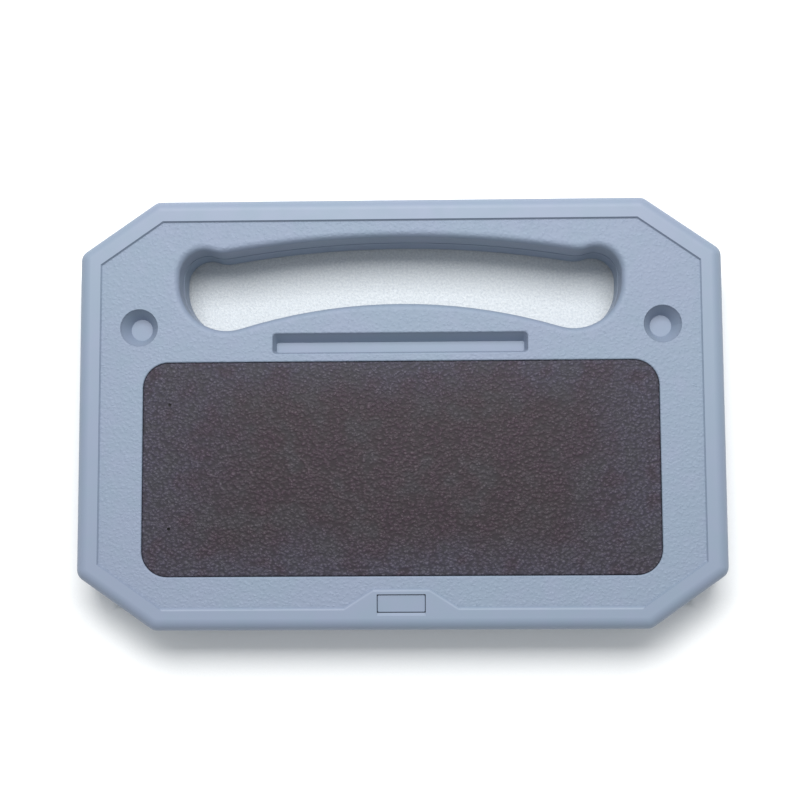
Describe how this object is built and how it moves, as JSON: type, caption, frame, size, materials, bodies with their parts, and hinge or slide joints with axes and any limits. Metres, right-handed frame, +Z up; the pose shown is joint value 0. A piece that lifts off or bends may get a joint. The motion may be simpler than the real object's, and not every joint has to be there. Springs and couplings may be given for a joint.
{
  "type": "ink pad",
  "caption": "Craft ink pad in a flat eight-sided carry case with a hand opening; the grained pad lifts out of its well, the lid swings on rear pins and a front button frees it.",
  "frame": {"origin": "centre of the case's footprint, on the surface that its feet stand on", "axes": "+Z up out of the ink pad's face, +Y towards the carry handle and the hinge, +X to the right"},
  "size_m": [0.24, 0.1604, 0.025],
  "materials": {
    "case_plastic": "satin moulded light blue-grey, with a fine leather-grain field inside a smooth rim",
    "liner_plastic": "satin moulded, fine spark texture",
    "inner_plastic": "dark grey moulded acetal",
    "steel": "drawn and bright",
    "screw_steel": "zinc plated",
    "spring_steel": "drawn spring wire",
    "foot_rubber": "matt moulded",
    "felt": "ink-soaked pressed felt",
    "pad_leather": "fine pebbled grain, semi-matt, brown-purple with mottling"
  },
  "bodies": {
    "base": {"base_shell": "case_plastic", "foot_front_left": "foot_rubber", "foot_front_right": "foot_rubber", "foot_rear_left": "foot_rubber", "foot_rear_right": "foot_rubber", "front_catch": "steel", "catch_screws": "screw_steel", "hinge_pin_left": "steel", "hinge_pin_right": "steel"},
    "lid": {"lid_shell": "case_plastic", "lid_liner": "liner_plastic", "liner_screws": "screw_steel", "latch_bracket": "inner_plastic", "latch_screws": "screw_steel", "hook_pin": "steel", "hook_spring": "spring_steel", "button_spring_left": "spring_steel", "button_spring_right": "spring_steel"},
    "button": {"latch_button": "case_plastic"},
    "hook": {"latch_hook": "inner_plastic"},
    "pad_cartridge": {"pad_tray": "inner_plastic", "ink_felt": "felt", "pad_skin": "pad_leather"}
  },
  "joints": [
    {"name": "lid_hinge", "type": "hinge", "parent": "base", "child": "lid", "pos_m": [0, 0.077, 0.01265], "axis": [-1, 0, 0], "range_deg": [0, 100]},
    {"name": "button_press", "type": "slide", "parent": "lid", "child": "button", "axis": [0, 0, -1], "range_m": [0, 0.0015], "stiffness_N_per_m": 400, "springref_m": -0.001, "deforming": ["button_spring_left", "button_spring_right"]},
    {"name": "hook_swing", "type": "hinge", "parent": "lid", "child": "hook", "pos_m": [0, -0.066, 0.0164], "axis": [1, 0, 0], "range_deg": [0, 20]},
    {"name": "pad_lift", "type": "slide", "parent": "lid", "child": "pad_cartridge", "axis": [0, 0, 1], "range_m": [0, 0.02]}
  ],
  "couplings": [
    {"joint": "hook_swing", "follows": "button_press", "rad_per_m": 232.71}
  ]
}
